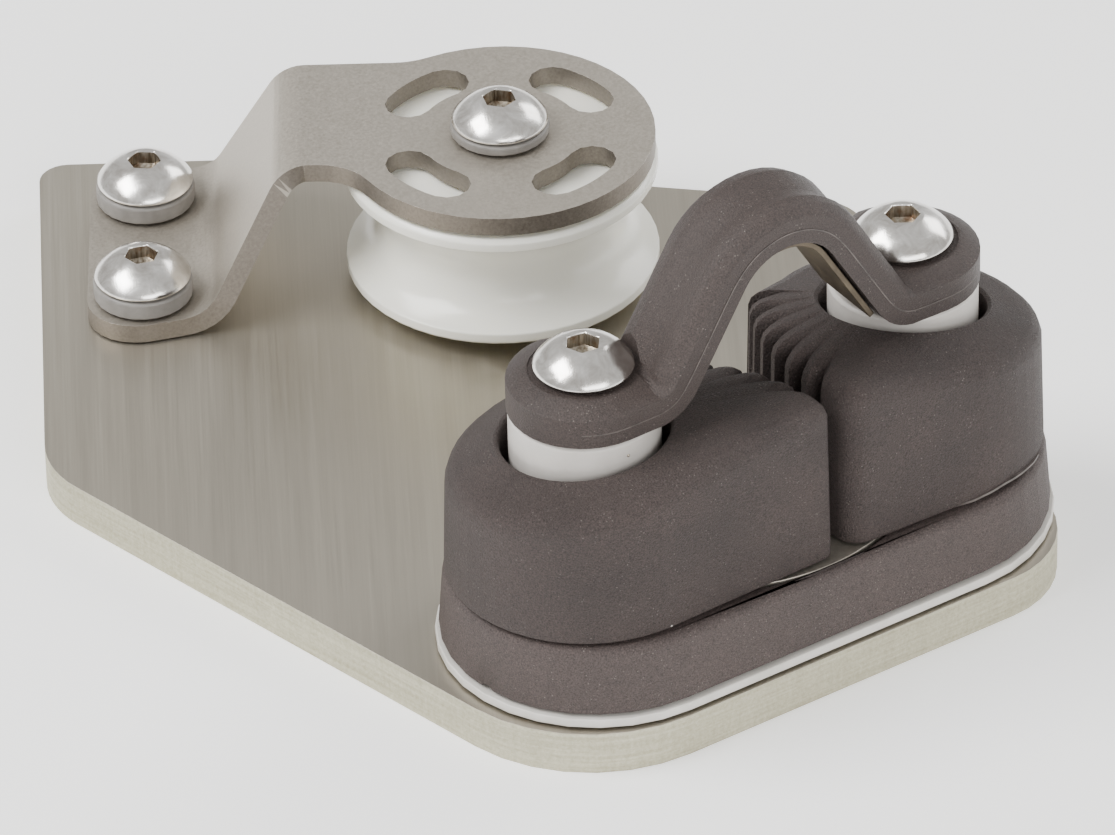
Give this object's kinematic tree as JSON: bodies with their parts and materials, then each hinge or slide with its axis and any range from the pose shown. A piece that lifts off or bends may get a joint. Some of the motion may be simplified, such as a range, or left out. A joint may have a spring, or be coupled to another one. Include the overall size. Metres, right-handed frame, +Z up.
{
  "type": "cam cleat with fairlead and turning sheave",
  "caption": "Sprung cam cleat with a fairlead bridge, and a rope sheave under a bent metal strap, fixed side by side on one cut metal plate.",
  "frame": {"origin": "on the underside of the plate, under the middle of the cleat, midway between the two cleat screws", "axes": "+X runs along the two cleat screws, +Y runs along the rope from the cleat towards the sheave, +Z is up and away from the mounting surface"},
  "size_m": [0.0928, 0.1179, 0.0521],
  "materials": {
    "steel_plate": "satin brushed and bead-blasted stainless steel",
    "polished_steel": "polished stainless steel",
    "spring_steel": "plain stainless wire and tube",
    "black_nylon": "grainy charcoal moulded glass-filled nylon",
    "white_nylon": "glossy off-white moulded plastic",
    "white_acetal": "smooth satin white plastic",
    "clear_nylon": "smooth translucent grey plastic"
  },
  "bodies": {
    "body": {"base_plate": "steel_plate", "cam_bush_left": "white_acetal", "cam_bush_right": "white_acetal", "cam_spring_left": "spring_steel", "cam_spring_right": "spring_steel", "cleat_base": "black_nylon", "cleat_base_pad": "white_acetal", "cleat_screw_left": "polished_steel", "cleat_screw_right": "polished_steel", "fairlead": "black_nylon", "fairlead_liner": "steel_plate", "rope_wear_plate": "steel_plate", "sheave_screw": "polished_steel", "sheave_sleeve": "spring_steel", "sheave_strap": "steel_plate", "sheave_thrust_washer": "white_acetal", "sheave_washer": "clear_nylon", "strap_screw_front": "polished_steel", "strap_screw_rear": "polished_steel", "strap_washer_front": "clear_nylon", "strap_washer_rear": "clear_nylon"},
    "cam_left": {"cam_left": "black_nylon"},
    "cam_right": {"cam_right": "black_nylon"},
    "sheave": {"sheave": "white_nylon"}
  },
  "joints": [
    {"name": "cam_left_open", "type": "hinge", "parent": "body", "child": "cam_left", "pos_m": [-0.019, 0, 0.022], "axis": [0, 0, -1], "range_deg": [0, 45], "stiffness_Nm_per_rad": 0.02, "springref_deg": -28.65},
    {"name": "cam_right_open", "type": "hinge", "parent": "body", "child": "cam_right", "pos_m": [0.019, 0, 0.022], "axis": [0, 0, 1], "range_deg": [0, 45], "stiffness_Nm_per_rad": 0.02, "springref_deg": -28.65},
    {"name": "sheave_spin", "type": "hinge", "parent": "body", "child": "sheave", "pos_m": [0.00955, 0.0578, 0.0129], "axis": [0, 0, 1], "continuous": true}
  ]
}
